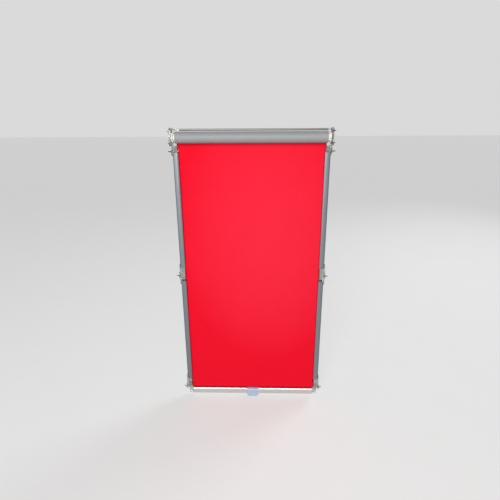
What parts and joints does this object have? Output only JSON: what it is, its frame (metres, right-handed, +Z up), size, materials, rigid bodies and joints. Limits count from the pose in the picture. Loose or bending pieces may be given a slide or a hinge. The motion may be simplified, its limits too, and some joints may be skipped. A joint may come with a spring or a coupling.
{
  "type": "roller blind",
  "caption": "Blackout roller blind for a roof window: red cloth on a spring roller, running between aluminium side rails to a bottom bar with a pull tab.",
  "frame": {"origin": "centre of the blind's overall box, halfway between the two bracket faces", "axes": "+Z up, from the pull tab to the roller; +Y towards the window's glass, so the room lies on the -Y side; +X to the right as seen from the room"},
  "size_m": [0.4054, 0.0343, 0.7742],
  "materials": {
    "clear_plastic": "clear moulded polycarbonate, glossy",
    "anodised_aluminium": "satin silver anodised extrusion, fine lines along its length",
    "mill_aluminium": "plain extruded tube",
    "white_plastic": "satin white moulding",
    "cream_plastic": "natural acetal, satin",
    "zinc_plated_steel": "bright zinc plate",
    "spring_steel": "oiled drawn wire and strip",
    "red_blackout_cloth": "matte red woven face on a coated blackout backing",
    "grey_cloth_backing": "silver-grey coated back of the cloth, smooth",
    "pale_blue_plastic": "pale blue-grey moulding, satin gloss"
  },
  "bodies": {
    "root": {"bracket_left": "clear_plastic", "bracket_right": "clear_plastic", "bracket_screw_lower_left": "zinc_plated_steel", "bracket_screw_lower_right": "zinc_plated_steel", "bracket_screw_upper_left": "zinc_plated_steel", "bracket_screw_upper_right": "zinc_plated_steel", "rail_top_clip_left": "clear_plastic", "rail_top_clip_right": "clear_plastic", "rail_top_clip_left_screw": "zinc_plated_steel", "rail_top_clip_right_screw": "zinc_plated_steel", "rail_connector_left": "clear_plastic", "rail_connector_right": "clear_plastic", "rail_connector_left_screw": "zinc_plated_steel", "rail_connector_right_screw": "zinc_plated_steel", "rail_holder_left": "clear_plastic", "rail_holder_right": "clear_plastic", "rail_holder_left_screw": "zinc_plated_steel", "rail_holder_right_screw": "zinc_plated_steel", "guide_rail_upper_left": "anodised_aluminium", "guide_rail_upper_right": "anodised_aluminium", "guide_rail_lower_left": "anodised_aluminium", "guide_rail_lower_right": "anodised_aluminium", "head_profile": "anodised_aluminium", "head_cap_left": "clear_plastic", "head_cap_right": "clear_plastic", "spindle": "zinc_plated_steel", "spring_anchor": "cream_plastic", "torsion_spring": "spring_steel", "blackout_fabric": "red_blackout_cloth"},
    "roller": {"roller_tube": "mill_aluminium", "fabric_spline": "white_plastic", "fabric_roll": "grey_cloth_backing", "spring_plug": "white_plastic", "drive_plug": "cream_plastic", "idle_plug": "white_plastic", "idle_plug_cap": "cream_plastic", "idle_pin_spring": "spring_steel"},
    "idle_pin": {"idle_pin": "zinc_plated_steel"},
    "bottom_bar": {"bar_profile": "anodised_aluminium", "hem_rod": "white_plastic", "bar_slider_left": "clear_plastic", "bar_slider_right": "clear_plastic", "brake_spring_left": "spring_steel", "brake_spring_right": "spring_steel", "pull_tab": "pale_blue_plastic"}
  },
  "joints": [
    {"name": "bar_slide", "type": "slide", "parent": "root", "child": "bottom_bar", "axis": [0, 0, 1], "range_m": [0, 0.6893], "deforming": ["blackout_fabric"]},
    {"name": "roller_spin", "type": "hinge", "parent": "root", "child": "roller", "pos_m": [0, -0.00339, 0.36453], "axis": [1, 0, 0], "range_deg": [0, 2550], "deforming": ["torsion_spring"]},
    {"name": "idle_pin_slide", "type": "slide", "parent": "roller", "child": "idle_pin", "axis": [-1, 0, 0], "range_m": [0, 0.004], "stiffness_N_per_m": 250, "springref_m": -0.008, "deforming": ["idle_pin_spring"]}
  ],
  "couplings": [
    {"joint": "roller_spin", "follows": "bar_slide", "rad_per_m": 64.544}
  ]
}
